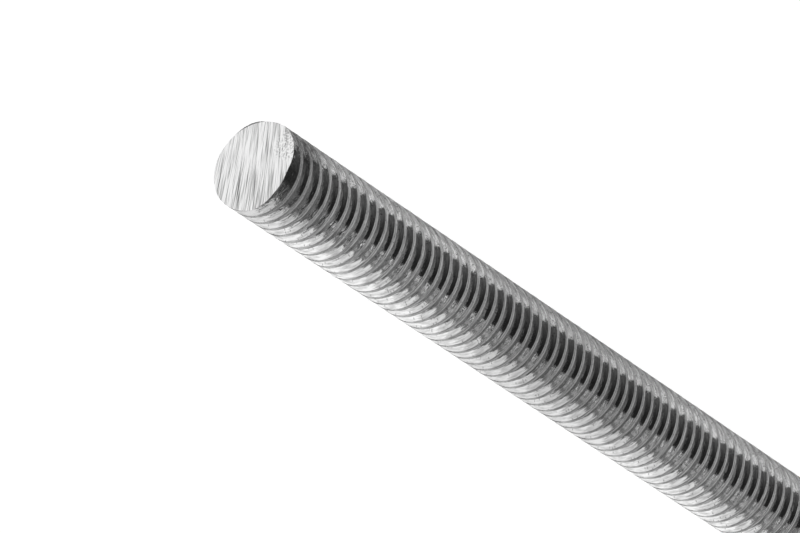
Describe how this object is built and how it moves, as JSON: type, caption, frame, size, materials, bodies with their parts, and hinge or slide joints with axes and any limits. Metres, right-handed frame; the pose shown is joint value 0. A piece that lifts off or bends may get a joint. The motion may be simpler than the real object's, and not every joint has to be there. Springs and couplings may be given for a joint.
{
  "type": "threaded rod",
  "caption": "Straight zinc-plated steel rod with a right-hand coarse thread along its whole length, sawn to length at both ends.",
  "frame": {"origin": "centre of the lower sawn end, on the surface that the rod stands on", "axes": "+Z along the rod's axis, from the square lower end to the upper end; the upper end's saw cut is highest at -X and falls towards +X"},
  "size_m": [0.008, 0.008, 0.1016],
  "materials": {
    "zinc_plated_steel": "rolled thread with a thin bright zinc coat, bare saw-cut ends"
  },
  "bodies": {
    "root": {"threaded_rod": "zinc_plated_steel"}
  },
  "joints": []
}
